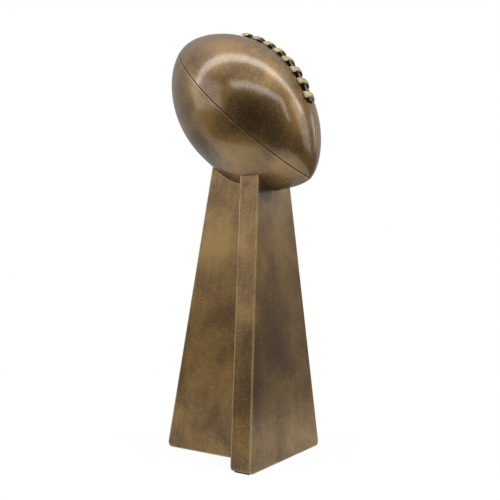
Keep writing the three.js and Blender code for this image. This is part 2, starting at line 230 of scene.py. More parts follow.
def ball_slope(along):
    """How fast the radius changes along the axis."""
    share = np.clip(1 - (along / BALL_HALF_LENGTH) ** 2, 1e-9, 1)
    steepness = BALL_RADIUS * BALL_TAPER * along / BALL_HALF_LENGTH ** 2
    return -steepness * share ** (BALL_TAPER / 2 - 1)


def ball_points(along, angle, sink):
    """Points on the ball, pressed in by sink along the surface normal. Angle 0 is the lacing."""
    slope = ball_slope(along)
    length = np.sqrt(1 + slope ** 2)
    radius = ball_radius(along) - sink / length
    axial = along + sink * slope / length
    up = radius * np.cos(angle)
    up = np.where(up < 0, up * underside_swell(axial), up)
    return np.stack([radius * np.sin(angle), axial, up], axis=-1)


def ball_rows():
    """Places along the axis: close together beside the lacing, closer still at the tips."""
    middle = np.arange(-BALL_FINE_END, BALL_FINE_END + BALL_FINE_STEP / 2, BALL_FINE_STEP)
    tip_turn = np.linspace(math.acos(BALL_FINE_END / BALL_HALF_LENGTH), 0, TIP_ROWS)[1:]
    tip = BALL_HALF_LENGTH * np.cos(tip_turn)
    return np.concatenate([-tip[::-1], middle, tip])


def half_columns():
    """Offsets of one quarter's columns: from the meridian outwards, and in from the seam."""
    beside_meridian = np.concatenate([np.arange(0, 1.3, 0.2), np.arange(1.5, 17.6, 0.5)]) * MM
    beside_seam = np.array([0, 0.1, 0.22, 0.38, 0.6, 0.9, 1.4, 2.2, 3.4]) * MM
    return beside_meridian, beside_seam


def column_angles(along):
    """Angles from the meridian to the seam at one place along the ball, for half a shell."""
    beside_meridian, beside_seam = half_columns()
    radius = ball_radius(along)
    from_meridian = np.arcsin(beside_meridian / max(radius, 25 * MM))
    seam_angle = (beside_seam + CLEARANCE / 2) / max(radius, 6 * MM)
    from_seam = math.pi / 2 - seam_angle[::-1]
    between = np.linspace(from_meridian[-1], from_seam[0], BETWEEN_COLUMNS)[1:-1]
    return np.concatenate([from_meridian, between, from_seam])


def lace_point(along, angle, lift):
    """A point above the ball's surface at a cross lace, an angle round from the crest."""
    slope = math.atan(ball_slope(along))
    bend = ball_radius(along) / math.cos(slope)
    across = (bend + lift) * np.sin(angle)
    up = (bend + lift) * np.cos(angle) - bend
    return np.stack([across, along - up * math.sin(slope),
                     ball_radius(along) + up * math.cos(slope)], axis=-1)


def lace_places():
    """Where the cross laces are, along the ball."""
    first = LACING_MIDDLE - LACE_SPACING * (LACE_COUNT - 1) / 2
    return [first + i * LACE_SPACING for i in range(LACE_COUNT)]


def channel_distance(points):
    """How far outside the channel's outline each point is, seen from above the lacing."""
    x = np.abs(points[..., 0]) - (CHANNEL_HALF_WIDTH - CHANNEL_CORNER)
    y = np.abs(points[..., 1] - LACING_MIDDLE) - (CHANNEL_HALF_LENGTH - CHANNEL_CORNER)
    outside = np.hypot(np.maximum(x, 0), np.maximum(y, 0))
    inside = np.minimum(np.maximum(x, y), 0)
    return outside + inside - CHANNEL_CORNER


def seam_sink(distance):
    """Rolls the shell's edge inwards beside the seam."""
    reach = np.clip(SEAM_ROLL - distance, 0, SEAM_ROLL)
    return SEAM_ROLL - np.sqrt(SEAM_ROLL ** 2 - reach ** 2)


def ball_detail(surface, laced):
    """How far each point sinks, how worn and dirty it is, and its painted highlight and shade."""
    to_seam = np.abs(surface[..., 2]) - CLEARANCE / 2
    to_meridian = np.abs(surface[..., 0])
    sink = seam_sink(to_seam)
    groove = np.clip(1 - to_meridian / PANEL_GROOVE_HALF_WIDTH, 0, 1)
    # The lip by the seam is rubbed; on the lower shell, whose lip faces up, it is also a painted
    # highlight.
    lip_wear_and_sheen = UPPER_LIP_WEAR if laced else LOWER_LIP_WEAR_AND_SHEEN
    wear_and_sheen = lip_wear_and_sheen * np.exp(-((to_seam - LIP_WEAR_AND_SHEEN_AT) / LIP_WEAR_AND_SHEEN_REACH) ** 2)
    grime_and_shade = SEAM_GRIME * np.exp(-(to_seam / SEAM_GRIME_REACH) ** 2)
    if laced:
        edge = channel_distance(surface)
        in_channel = 1 - smoothstep(-CHANNEL_WALL, 0, edge)
        groove = groove * smoothstep(0.5 * MM, 3 * MM, edge)
        sink = np.maximum(sink, CHANNEL_DEPTH * in_channel)
        # The channel is darkened up to its rim: partly the brown wash in the hollow, partly
        # painted shade.
        grime_and_shade = np.maximum(grime_and_shade, 1 - smoothstep(-0.3 * MM, 0.1 * MM, edge))
        for along in lace_places():
            for side in (-1, 1):
                centre = lace_point(along, side * DIMPLE_ANGLE, 0)
                away = np.linalg.norm(surface - centre, axis=-1)
                press = 1 - smoothstep(0.35, 1, away / DIMPLE_RADIUS)
                sink = np.maximum(sink, DIMPLE_DEPTH * press)
                rim = np.exp(-((away - 1.2 * DIMPLE_RADIUS) / (0.6 * MM)) ** 2)
                wear_and_sheen = np.maximum(wear_and_sheen, 0.9 * rim * (edge > 0))
                grime_and_shade = np.maximum(grime_and_shade, 0.6 * press)
    groove = groove * smoothstep(0, 10 * MM, ball_radius(surface[..., 1]))
    sink = sink + PANEL_GROOVE_DEPTH * groove
    grime_and_shade = np.maximum(grime_and_shade, groove)
    return sink, wear_and_sheen, grime_and_shade


def shell_faces(count, width, inner_width):
    """Faces of an outer and an inner grid of points, and of the rim all round that joins them."""
    start = count * width
    faces = grid_faces(count, width) + grid_faces(count, inner_width, start)
    for outer_column, inner_column in ((0, 0), (width - 1, inner_width - 1)):
        for r in range(count - 1):
            faces.append((r * width + outer_column, (r + 1) * width + outer_column,
                          start + (r + 1) * inner_width + inner_column,
                          start + r * inner_width + inner_column))
    for row in (0, count - 1):
        tip_outer = [row * width + c for c in range(width)]
        tip_inner = [start + row * inner_width + c for c in range(inner_width)]
        faces.append(tuple(tip_outer + tip_inner[::-1]))
    return faces


def ball_shell(name, laced, material):
    """Half of the ball: its outer surface, its inner surface, and the flat rim that joins them."""
    rows = ball_rows()
    turn = 0 if laced else math.pi
    angles = np.array([column_angles(along) for along in rows])
    angles = np.concatenate([-angles[:, :0:-1], angles], axis=1) + turn
    along = np.repeat(rows[:, None], angles.shape[1], axis=1)
    surface = ball_points(along, angles, 0)
    sink, wear_and_sheen, grime_and_shade = ball_detail(surface, laced)
    outer = ball_points(along, angles, sink)

    inner_columns = np.linspace(0, angles.shape[1] - 1, INNER_COLUMNS).round().astype(int)
    shrink = 1 - CASTING_WALL / BALL_RADIUS
    inner = shrink * ball_points(along[:, inner_columns], angles[:, inner_columns], 0)
    side = 1 if laced else -1
    for points in (outer, inner):
        points[..., 2] = side * np.maximum(side * points[..., 2], CLEARANCE / 2)
    inner[:, (0, -1), 2] = side * CLEARANCE / 2

    faces = shell_faces(*angles.shape, INNER_COLUMNS)
    points = to_trophy(np.concatenate([outer.reshape(-1, 3), inner.reshape(-1, 3)]))
    hidden = np.zeros(len(rows) * INNER_COLUMNS)
    attributes = {
        "wear_and_sheen": np.concatenate([wear_and_sheen.ravel(), hidden]),
        "grime_and_shade": np.concatenate([grime_and_shade.ravel(), hidden + 0.5]),
    }
    new_piece(name + "_cast", points, faces, attributes, material, [name])


# ---------------------------------------------------------------- lacing
def band_section(half_width, half_thickness, squareness=2.7):
    """A rounded band's section: across and up."""
    turn = np.linspace(0, 2 * math.pi, BAND_CORNERS, endpoint=False)
    power = 2 / squareness
    across = half_width * np.sign(np.cos(turn)) * np.abs(np.cos(turn)) ** power
    up = half_thickness * np.sign(np.sin(turn)) * np.abs(np.sin(turn)) ** power
    return across, up


def end_taper(t, length):
    """Rounds a band off over the last share of its length, from 1 down to 0 at its end."""
    reach = np.clip((np.abs(t) - (1 - length)) / length, 0, 1)
    return np.sqrt(np.clip(1 - reach ** 2, 0, 1))


def cross_lace(index, along, material):
    """One cross lace: a soft-edged band over the channel, its ends pressed into the dimples."""
    wobble = math.sin(2.4 * index + 0.7)
    slope = math.atan(ball_slope(along))
    rings, wear_and_sheen, grime_and_shade = [], [], []
    for t in -np.cos(np.linspace(0, math.pi, LACE_STEPS)):
        taper = max(float(end_taper(t, LACE_ROUND_END)), 0.06)
        width = LACE_HALF_WIDTH * taper * (LACE_WAIST + LACE_FLARE * t ** 2 + 0.03 * wobble)
        thinning = (1 - LACE_THINNING * t ** 2) * max(taper, 0.25)
        across, up = band_section(width, LACE_HALF_THICKNESS * thinning)
        lift = LACE_CREST - LACE_HALF_THICKNESS - LACE_END_DROP * abs(t) ** 2.2
        angle = np.full(BAND_CORNERS, t * LACE_REACH)
        ring = lace_point(along, angle, lift + up)
        shift = across + LACE_UNEVEN * wobble * math.sin(2 * t)
        ring[:, 1] += shift * math.cos(slope)
        ring[:, 2] += shift * math.sin(slope)
        rings.append(ring)
        # The outer face takes the pale paint; the underside, which faces the ball, is darkened as
        # painted shade.
        wear_and_sheen.append(smoothstep(-0.8, 0.4, up / LACE_HALF_THICKNESS) * (1 - 0.25 * t ** 4))
        grime_and_shade.append(smoothstep(0.5, 1.0, -up / LACE_HALF_THICKNESS))
    name = f"lace_cross_{index}"
    attributes = {"wear_and_sheen": np.concatenate(wear_and_sheen), "grime_and_shade": np.concatenate(grime_and_shade)}
    points = to_trophy(np.concatenate(rings))
    faces = stacked_faces(LACE_STEPS, BAND_CORNERS)
    new_piece(name + "_band", points, faces, attributes, material, [name], 60)


def lace_cord(material):
    """The lengthwise lace, pressed a little flatter under each cross lace, with knobbed ends."""
    rings, wear_and_sheen, grime_and_shade = [], [], []
    for t in -np.cos(np.linspace(0, math.pi, CORD_STEPS)):
        along = LACING_MIDDLE + t * CORD_HALF_LENGTH
        from_end = (1 - abs(t)) * CORD_HALF_LENGTH
        knob = np.exp(-((from_end - KNOB_FROM_END) / KNOB_LENGTH) ** 2)
        taper = max(float(end_taper(t, CORD_ROUND_END)), 0.05)
        pinch = 0.5 + 0.5 * math.cos(2 * math.pi * ((along - LACING_MIDDLE) / LACE_SPACING + 0.5))
        half_width = CORD_HALF_WIDTH * taper * (1 + 0.3 * knob + 0.08 * pinch)
        half_height = CORD_HALF_HEIGHT * taper * (1 + 0.25 * knob - 0.06 * pinch)
        across, up = band_section(half_width, half_height, squareness=2.2)
        sway = CORD_SWAY * math.sin(1.7 * along / LACE_SPACING)
        slope = math.atan(ball_slope(along))
        lift = up + CORD_LIFT
        rings.append(np.stack([across + sway, along - lift * math.sin(slope),
                               ball_radius(along) + lift * math.cos(slope)], axis=-1))
        # The pale shoulders are a painted highlight, the knob tops rubbed, and the rest painted
        # shade.
        shoulder = np.exp(-((np.abs(across) / half_width - 0.66) / 0.24) ** 2)
        ridge = np.maximum(shoulder, knob) * smoothstep(0.0, 0.5, up / half_height)
        wear_and_sheen.append(ridge)
        grime_and_shade.append(0.95 * (1 - ridge))
    attributes = {"wear_and_sheen": np.concatenate(wear_and_sheen), "grime_and_shade": np.concatenate(grime_and_shade)}
    points = to_trophy(np.concatenate(rings))
    faces = stacked_faces(CORD_STEPS, BAND_CORNERS)
    new_piece("lace_cord_strand", points, faces, attributes, material,
              ["lace_cord"], 60)


# ---------------------------------------------------------------- tower
def under_ball(x, y):
    """The height at which the castings stop, a clearance below the ball, found by halving."""
    tilt_cos, tilt_sin = math.cos(BALL_TILT), math.sin(BALL_TILT)
    low = np.full(np.shape(x), BELOW_BALL)
    high = BALL_CENTRE.z + y * math.tan(BALL_TILT)
    for _ in range(34):
        middle = (low + high) / 2
        z = middle - BALL_CENTRE.z
        along = y * tilt_cos + z * tilt_sin
        up = z * tilt_cos - y * tilt_sin
        up = np.where(up < 0, up / underside_swell(along), up)
        away = np.hypot(x, up)
        outside = away > ball_radius(along) + CLEARANCE
        low = np.where(outside, middle, low)
        high = np.where(outside, high, middle)
    return low


# The castings' faces, each as a function of the height.
def slab_half_width(z):
    return SLAB_FOOT_HALF_WIDTH - SLAB_SIDE_LEAN * z


def slab_front(z):
    return SLAB_FRONT_AT_FOOT + SLAB_FRONT_LEAN * z


def slab_back(z):
    return slab_front(z) + SLAB_THICKNESS


def stem_half_thickness(z):
    return STEM_FOOT_HALF_THICKNESS - STEM_SIDE_LEAN * z


def stem_back(z):
    return STEM_BACK_AT_FOOT - STEM_BACK_LEAN * z


def casting_layers(thickness):
    """Layers through a casting: depth from its first face, inset of the outline, and wear."""
    turns = np.radians([0, 22, 45, 68, 90])
    roll = [(CASTING_ROLL * (1 - math.cos(a)), CASTING_ROLL * (1 - math.sin(a)), w)
            for a, w in zip(turns, (0.75, 1, 1, 1, 0.75))]
    face = [(0.0, 3.2 * MM, 0.0), (0.0, 1.5 * MM, 0.0), (0.0, 1.0 * MM, 0.3)]
    first = face + roll + [(CASTING_ROLL + 0.8 * MM, 0.0, 0.0)]
    middle = [(thickness * share, 0.0, 0.0) for share in (0.25, 0.5, 0.75)]
    last = [(thickness - depth, inset, wear_and_sheen) for depth, inset, wear_and_sheen in reversed(first)]
    return first + middle + last


def arc_points(centre, radius, start, end):
    """Points of a rounded corner."""
    turn = np.linspace(start, end, CORNER_STEPS)
    return np.stack([centre[0] + radius * np.cos(turn), centre[1] + radius * np.sin(turn)], -1)


def outline(left, right, top, inset, corner_left, corner_right):
    """A casting's closed outline in elevation, with rounded lower corners.

    left and right give its edges at a height, and top gives its height at a place across.
    """
    low = FOOT + inset
    radius_left = max(corner_left - inset, 0.05 * MM)
    radius_right = max(corner_right - inset, 0.05 * MM)
    a = left(low) + inset + radius_left
    b = right(low) - inset - radius_right
    lean_left = math.atan2(left(low + 0.1) - left(low), 0.1)
    lean_right = math.atan2(right(low) - right(low + 0.1), 0.1)
    corner_a = arc_points((a, low + radius_left), radius_left,
                          math.pi - lean_left, 1.5 * math.pi)
    corner_b = arc_points((b, low + radius_right), radius_right, -math.pi / 2, lean_right)
    bottom = np.stack([np.linspace(a, b, BOTTOM_STEPS), np.full(BOTTOM_STEPS, low)], -1)[1:-1]
    top_left = np.array([left(TOP_GUESS) + inset, TOP_GUESS])
    top_right = np.array([right(TOP_GUESS) - inset, TOP_GUESS])
    for _ in range(12):
        top_left[1] = top(top_left[0]) - inset
        top_left[0] = left(top_left[1]) + inset
        top_right[1] = top(top_right[0]) - inset
        top_right[0] = right(top_right[1]) - inset
    rise = np.linspace(0, 1, SIDE_STEPS)[1:]
    side_b = corner_b[-1] + rise[:, None] * (top_right - corner_b[-1])
    across = np.linspace(top_right[0], top_left[0], HEAD_STEPS)[1:]
    head = np.stack([across, top(across) - inset], -1)
    side_a = top_left + rise[:-1, None] * (corner_a[0] - top_left)
    return np.concatenate([corner_a, bottom, corner_b, side_b, head, side_a])


def foot_wear(points):
    """Rubbed gold round the rounded lower corners of a casting's thin sides."""
    return 0.6 * (1 - smoothstep(FOOT + 0.4 * MM, FOOT + 2.2 * MM, points[:, 2]))


def casting(name, thickness, place, outline_at, material):
    """A casting, skinned over its outlines at several depths. place moves an outline there."""
    rings, wear_and_sheen = [], []
    for depth, inset, worn_and_sheen in casting_layers(thickness):
        ring = place(outline_at(depth, inset), depth)
        rings.append(ring)
        corner = foot_wear(ring) if inset < CASTING_ROLL else np.zeros(len(ring))
        wear_and_sheen.append(np.maximum(worn_and_sheen, corner))
    points = np.concatenate(rings)
    attributes = {"wear_and_sheen": np.concatenate(wear_and_sheen), "grime_and_shade": np.zeros(len(points))}
    faces = stacked_faces(len(rings), len(rings[0]))
    new_piece(name + "_cast", points, faces, attributes, material, [name], 30)


def front_slab(material):
    """The wide casting, its thickness measured back from its leaning face."""
    def outline_at(depth, inset):
        def top(x):
            z = np.full(np.shape(x), TOP_GUESS)
            for _ in range(6):
                z = under_ball(x, slab_front(z) + depth)
            return z
        return outline(lambda z: -slab_half_width(z), slab_half_width, top, inset,
                       FOOT_CORNER, FOOT_CORNER)

    def place(points, depth):
        x, z = points[:, 0], points[:, 1]
        return np.stack([x, slab_front(z) + depth, z], -1)

    casting("tower_front_slab", SLAB_THICKNESS, place, outline_at, material)


def rear_stem(material):
    """The casting behind the slab, its thickness measured across, from its left face."""
    full = 2 * STEM_FOOT_HALF_THICKNESS

    def side(z, depth):
        """The place across of a depth: true near the faces, in proportion between them."""
        edge = min(depth, full - depth)
        half = stem_half_thickness(z)
        if edge < STEM_TRUE_EDGE:
            return math.copysign(1, depth - full / 2) * (half - edge)
        return (2 * depth / full - 1) * half

    def outline_at(depth, inset):
        def top(y):
            z = np.full(np.shape(y), TOP_GUESS)
            for _ in range(6):
                z = under_ball(side(z, depth), y)
            return z
        return outline(lambda z: slab_back(z) + CLEARANCE, stem_back, top, inset,
                       0, FOOT_CORNER)

    def place(points, depth):
        y, z = points[:, 0], points[:, 1]
        return np.stack([side(z, depth) * np.ones(len(z)), y, z], -1)

    casting("tower_rear_stem", full, place, outline_at, material)


# ---------------------------------------------------------------- felt
def t_outline(wide, narrow, front, step, back):
    """The closed outline of a T, its points close together so that the edge can fray a little."""
    corners = np.array([(-wide, front), (wide, front), (wide, step), (narrow, step),
                        (narrow, back), (-narrow, back), (-narrow, step), (-wide, step)])
    points = []
    for start, end in zip(corners, np.roll(corners, -1, axis=0)):
        steps = max(2, round(math.dist(start, end) / FELT_STEP))
        for share in np.linspace(0, 1, steps, endpoint=False):
            points.append(start + share * (end - start))
    return np.array(points)


def frayed(ring):
    """An outline pulled in towards its middle by slightly uneven amounts."""
    fray = FELT_FRAY * np.abs(np.sin(2.3 * np.arange(len(ring))))
    away = ring - np.array([0, (felt_low[1] + felt_high[1]) / 2])
    return ring - away / np.linalg.norm(away, axis=1)[:, None] * fray[:, None]


def same_size(rings):
    """The rings, each with as many of its points as the smallest ring has."""
    size = min(len(ring) for ring in rings)
    return [ring[np.linspace(0, len(ring) - 1, size).round().astype(int)] for ring in rings]


def felt_pad(material):
    """A T-shaped sheet of felt with softly rounded, slightly uneven edges."""
    thickness = felt_high[2] - felt_low[2]
    margin = felt_low[1] - SLAB_FRONT_AT_FOOT
    step = SLAB_FRONT_AT_FOOT + SLAB_THICKNESS - margin
    narrow = STEM_FOOT_HALF_THICKNESS - margin
    rings = []
    for height, inset in FELT_LAYERS:
        ring = t_outline(felt_high[0] - inset, narrow - inset, felt_low[1] + inset,
                         step - inset, felt_high[1] - inset)
        if inset == 0:
            ring = frayed(ring)
        rings.append(np.column_stack([ring, np.full(len(ring), height * thickness)]))
    rings = same_size(rings)
    faces = stacked_faces(len(rings), len(rings[0]))
    piece = new_piece("felt_pad_sheet", np.concatenate(rings), faces, {}, material,
                      ["felt_pad"], 60)


# ---------------------------------------------------------------- material helpers
class Nodes:
    """A node tree, with short calls for the nodes that materials and the world share."""

    def __init__(self, tree):
        self.tree = tree

    def add(self, kind):
        return self.tree.nodes.new("ShaderNode" + kind)

    def link(self, source, socket):
        self.tree.links.new(source, socket)

    def math(self, operation, a, b):
        node = self.add("Math")
        node.operation = operation
        for value, socket in ((a, node.inputs[0]), (b, node.inputs[1])):
            if isinstance(value, (int, float)):
                socket.default_value = value
            else:
                self.link(value, socket)
        return node.outputs[0]

    def span(self, value, low, high, to_low=0.0, to_high=1.0):
        """Maps a value smoothly from one range to another, and stops at the ends."""
        node = self.add("MapRange")
        node.interpolation_type = "SMOOTHSTEP"
        self.link(value, node.inputs["Value"])
        for socket, number in zip(list(node.inputs)[1:5], (low, high, to_low, to_high)):
            socket.default_value = number
        return node.outputs["Result"]


class Shader(Nodes):
    """A material's node tree."""

    def __init__(self, name):
        self.material = bpy.data.materials.new(name)
        self.material.use_nodes = True
        super().__init__(self.material.node_tree)
        self.bsdf = self.tree.nodes["Principled BSDF"]
        self.place = self.add("TexCoord").outputs["Object"]

    def noise(self, scale, detail=4.0, roughness=0.55, distortion=0.0, stretch=(1, 1, 1)):
        """Noise whose features are about 1/scale metres across."""
        mapping = self.add("Mapping")
        mapping.inputs["Scale"].default_value = stretch
        node = self.add("TexNoise")
        self.link(self.place, mapping.inputs["Vector"])
        self.link(mapping.outputs["Vector"], node.inputs["Vector"])
        node.inputs["Scale"].default_value = scale
        node.inputs["Detail"].default_value = detail
        node.inputs["Roughness"].default_value = roughness
        node.inputs["Distortion"].default_value = distortion
        return node.outputs["Fac"]

    def ramp(self, value, *stops):
        """A colour ramp through (place, colour) stops."""
        node = self.add("ValToRGB")
        elements = node.color_ramp.elements
        while len(elements) < len(stops):
            elements.new(0.5)
        for element, (place, colour) in zip(elements, stops):
            element.position = place
            element.color = (*colour, 1)
        self.link(value, node.inputs["Fac"])
        return node.outputs["Color"]

    def mix(self, amount, a, b):
        """A colour between a and b, each a socket or a plain colour."""
        node = self.add("Mix")
        node.data_type = "RGBA"
        self.link(amount, node.inputs["Factor"])
        for value, socket in ((a, node.inputs[6]), (b, node.inputs[7])):
            if isinstance(value, tuple):
                socket.default_value = (*value, 1)
            else:
                self.link(value, socket)
        return node.outputs[2]

    def patch(self, centre, reach):
        """A soft spot round a point: 1 at its middle, 0 beyond its reach along x, y and z."""
        mapping = self.add("Mapping")
        mapping.inputs["Scale"].default_value = [1 / r for r in reach]
        mapping.inputs["Location"].default_value = [-c / r for c, r in zip(centre, reach)]
        self.link(self.place, mapping.inputs["Vector"])
        length = self.add("VectorMath")
        length.operation = "LENGTH"
        self.link(mapping.outputs["Vector"], length.inputs[0])
        return self.span(length.outputs["Value"], 0.0, 1.0, 1.0, 0.0)

    def attribute(self, name):
        node = self.add("Attribute")
        node.attribute_name = name
        return node.outputs["Fac"]

    def bump(self, height, strength, distance, below=None):
        node = self.add("Bump")
        node.inputs["Strength"].default_value = strength
        node.inputs["Distance"].default_value = distance
        self.link(height, node.inputs["Height"])
        if below is not None:
            self.link(below, node.inputs["Normal"])
        return node.outputs["Normal"]

    def finish(self, colour, roughness, normal, **constants):
        """Links the varying inputs, and sets the ones that are the same all over."""
        self.link(colour, self.bsdf.inputs["Base Color"])
        self.link(roughness, self.bsdf.inputs["Roughness"])
        self.link(normal, self.bsdf.inputs["Normal"])
        for socket, value in constants.items():
            self.bsdf.inputs[socket.replace("_", " ")].default_value = value
        return self.material


# ---------------------------------------------------------------- materials
DARK_PATINA = (0.110, 0.056, 0.016)
BROWN_PATINA = (0.205, 0.114, 0.036)
BRONZE = (0.345, 0.200, 0.060)
GOLD = (0.500, 0.305, 0.092)
# Rubbed gold for edges and specks, also the painted highlight on the lower ball shell's lip.
RUBBED_GOLD_AND_SHEEN = (0.66, 0.48, 0.22)
# Soot for dirt in seams and grooves, and painted shade in the channel, under the laces and on the
# cord.
SOOT_AND_SHADE = (0.050, 0.026, 0.012)

TONE_REACH = 0.28  # how far from the middle tone the darkest and the lightest are
FLAKE_COVER = 0.25  # how much of the colour the bright specks take over
GRIME_AND_SHADE_COVER = 0.93

# Larger patches of the tone: their middle and reach, in millimetres in the trophy's frame, and
# how much lighter (above 0) or darker (below 0) they are. The strong dark spot under the ball's
# lower end on the slab's front is a painted shadow, the lighter top of the tower is partly
# painted light from above, and the broad dark spot on the ball's front-left is partly a painted
# reflection of the dim studio.
BALL_PATCHES = (
    ((-42, -40, 270), (38, 32, 30), -0.25),
    ((-34, -52, 246), (20, 20, 16), -0.12),
    ((-44, -24, 241), (34, 32, 18), 0.26),
    ((-52, 2, 268), (24, 18, 22), 0.16),
    ((-34, 22, 251), (26, 28, 26), -0.15),
    ((-20, -53, 230), (18, 18, 14), 0.22),
    ((-40, -30, 300), (26, 30, 14), -0.07),
    ((-38, -4, 328), (26, 30, 14), 0.12),
)
TOWER_PATCHES = (
    ((-20, 20, 176), (32, 28, 36), 0.34),
    ((-40, -32, 60), (14, 30, 70), -0.22),
    ((-24, 56, 110), (30, 16, 80), -0.22),
    ((-10, -36, 90), (34, 30, 60), -0.12),
    ((-15, -31, 213), (12, 8, 14), -0.60),
    ((6, -34, 176), (24, 14, 40), 0.14),
)


def aged_bronze(name, streaks, gloss, coat_roughness, coat_index, patches):
    """Bronze paint under a brown wash, wiped back in clouds, rubbed on edges and lacquered.

    streaks is how much the wash runs downwards, gloss is the paint's lowest roughness, and the
    lacquer over it has its own roughness and refractive index. Some patches, the lower ball
    shell's lip and the soot are in part painted light and shade.
    """
    s = Shader(name)
    clouds = s.noise(34, detail=5, roughness=0.6, distortion=0.35)
    broad = s.noise(13, detail=2)
    drag = s.noise(210, detail=3, roughness=0.6, stretch=(1, 1, 0.07))
    speckle = s.noise(640, detail=3, roughness=0.75)
    layers = ((clouds, 0.50), (broad, 0.20), (drag, streaks), (speckle, 0.34))
    middle = 0.5 * sum(weight for _, weight in layers)
    tone = 0.0
    for layer, weight in layers:
        tone = s.math("ADD", s.math("MULTIPLY", layer, weight), tone)
    # Patches lighten or darken the tone; some of them are painted shadow, painted light and
    # painted reflection.
    for centre, reach, amount in patches:
        spot = s.patch([c * MM for c in centre], [r * MM for r in reach])
        tone = s.math("ADD", s.math("MULTIPLY", spot, amount), tone)
    tone = s.span(tone, middle - TONE_REACH, middle + TONE_REACH)
    colour = s.ramp(tone, (0.0, DARK_PATINA), (0.3, BROWN_PATINA), (0.62, BRONZE), (1.0, GOLD))
    flakes = s.math("MULTIPLY", s.span(speckle, 0.52, 0.74), FLAKE_COVER)
    # Rubbed gold on edges; on the lower ball shell's lip it is also a painted highlight.
    rubbed_and_sheen = s.math("MULTIPLY", s.attribute("wear_and_sheen"), s.span(clouds, 0.3, 0.6, 0.45, 1.0))
    rubbed_and_sheen = s.math("MULTIPLY", rubbed_and_sheen, s.span(speckle, 0.3, 0.6, 0.6, 1.0))
    grime_and_shade = s.attribute("grime_and_shade")
    colour = s.mix(flakes, colour, RUBBED_GOLD_AND_SHEEN)
    colour = s.mix(rubbed_and_sheen, colour, RUBBED_GOLD_AND_SHEEN)
    # Soot for dirt in the seams, grooves and dimples, and painted shade in the lacing channel.
    colour = s.mix(s.math("MULTIPLY", grime_and_shade, GRIME_AND_SHADE_COVER), colour, SOOT_AND_SHADE)
    roughness = s.span(clouds, 0.3, 0.7, gloss + 0.1, gloss)
    roughness = s.math("MAXIMUM", roughness, s.math("MULTIPLY", grime_and_shade, 0.85))
    grain = s.bump(speckle, 0.10, 0.25 * MM)
    normal = s.bump(s.noise(45, detail=2), 0.12, 1.2 * MM, below=grain)
    lacquer = s.span(grime_and_shade, 0.1, 0.8, 1.0, 0.0)
    s.link(lacquer, s.bsdf.inputs["Coat Weight"])
    return s.finish(colour, roughness, normal, Metallic=0.85, Coat_Roughness=coat_roughness,
                    Coat_IOR=coat_index)


def pale_lace(name, body, coat):
    """The laces' lighter paint over brown wash, soot as painted shade, and some lacquer."""
    s = Shader(name)
    clouds = s.noise(260, detail=4)
    speckle = s.noise(1500, detail=2)
    colour = s.ramp(clouds, (0.3, tuple(0.5 * c for c in body)), (0.55, body),
                    (0.8, tuple(min(1.25 * c, 1) for c in body)))
    # On the cord, the pale paint on its shoulders is a painted highlight.
    worn_and_sheen = s.math("MULTIPLY", s.attribute("wear_and_sheen"), s.span(speckle, 0.3, 0.6, 0.75, 1.0))
    colour = s.mix(worn_and_sheen, BROWN_PATINA, colour)
    # Soot as painted shade on the cross laces' undersides and over most of the cord.
    colour = s.mix(s.math("MULTIPLY", s.attribute("grime_and_shade"), 0.95), colour, SOOT_AND_SHADE)
    roughness = s.span(clouds, 0.3, 0.7, 0.5, 0.38)
    normal = s.bump(speckle, 0.25, 0.2 * MM, below=s.bump(clouds, 0.3, 0.5 * MM))
    return s.finish(colour, roughness, normal, Metallic=0.15, Coat_Weight=coat,
                    Coat_Roughness=0.25)


def felt_material():
    """Black felt, its fibres lying both ways."""
    s = Shader("felt_black")
    fibres = s.noise(900, detail=6, roughness=0.75, stretch=(1, 0.35, 1))
    cross_fibres = s.noise(900, detail=6, roughness=0.75, stretch=(0.35, 1, 1))
    both = s.math("MULTIPLY", s.math("ADD", fibres, cross_fibres), 0.5)
    colour = s.ramp(both, (0.35, (0.006, 0.006, 0.007)), (0.7, (0.035, 0.034, 0.036)))
    roughness = s.span(both, 0.3, 0.7, 1.0, 0.85)
    normal = s.bump(both, 0.8, 0.4 * MM)
    return s.finish(colour, roughness, normal, Sheen_Weight=0.4, Sheen_Roughness=0.6)


def zinc_material():
    """Zinc-plated steel, for the stud, its hardware and the screws."""
    s = Shader("zinc_plated_steel")
    spangle = s.noise(500, detail=4)
    colour = s.ramp(spangle, (0.3, (0.38, 0.40, 0.42)), (0.7, (0.62, 0.63, 0.62)))
    roughness = s.span(spangle, 0.3, 0.7, 0.42, 0.28)
    normal = s.bump(s.noise(2400, detail=2), 0.15, 0.1 * MM)
    return s.finish(colour, roughness, normal, Metallic=1.0)


def iron_material():
    """Sand-cast iron, for the ballast."""
    s = Shader("cast_iron")
    sand = s.noise(700, detail=6, roughness=0.7)
    colour = s.ramp(sand, (0.3, (0.022, 0.021, 0.020)), (0.7, (0.075, 0.068, 0.060)))
    roughness = s.span(sand, 0.3, 0.7, 0.85, 0.6)
    normal = s.bump(sand, 0.6, 0.5 * MM)
    return s.finish(colour, roughness, normal, Metallic=0.8)


def wood_material():
    """Beech, for the dowels."""
    s = Shader("beech_dowel")
    grain = s.noise(500, detail=5, roughness=0.6, stretch=(1, 0.06, 1))
    colour = s.ramp(grain, (0.3, (0.34, 0.21, 0.10)), (0.7, (0.60, 0.43, 0.25)))
    roughness = s.span(grain, 0.3, 0.7, 0.75, 0.6)
    return s.finish(colour, roughness, s.bump(grain, 0.3, 0.2 * MM))


def board_material():
    """Hardboard, for the base plate."""
    s = Shader("hardboard")
    fibres = s.noise(600, detail=7, roughness=0.75)
    colour = s.ramp(fibres, (0.3, (0.060, 0.032, 0.016)), (0.7, (0.150, 0.090, 0.048)))
    roughness = s.span(fibres, 0.3, 0.7, 0.9, 0.7)
    return s.finish(colour, roughness, s.bump(fibres, 0.4, 0.2 * MM))


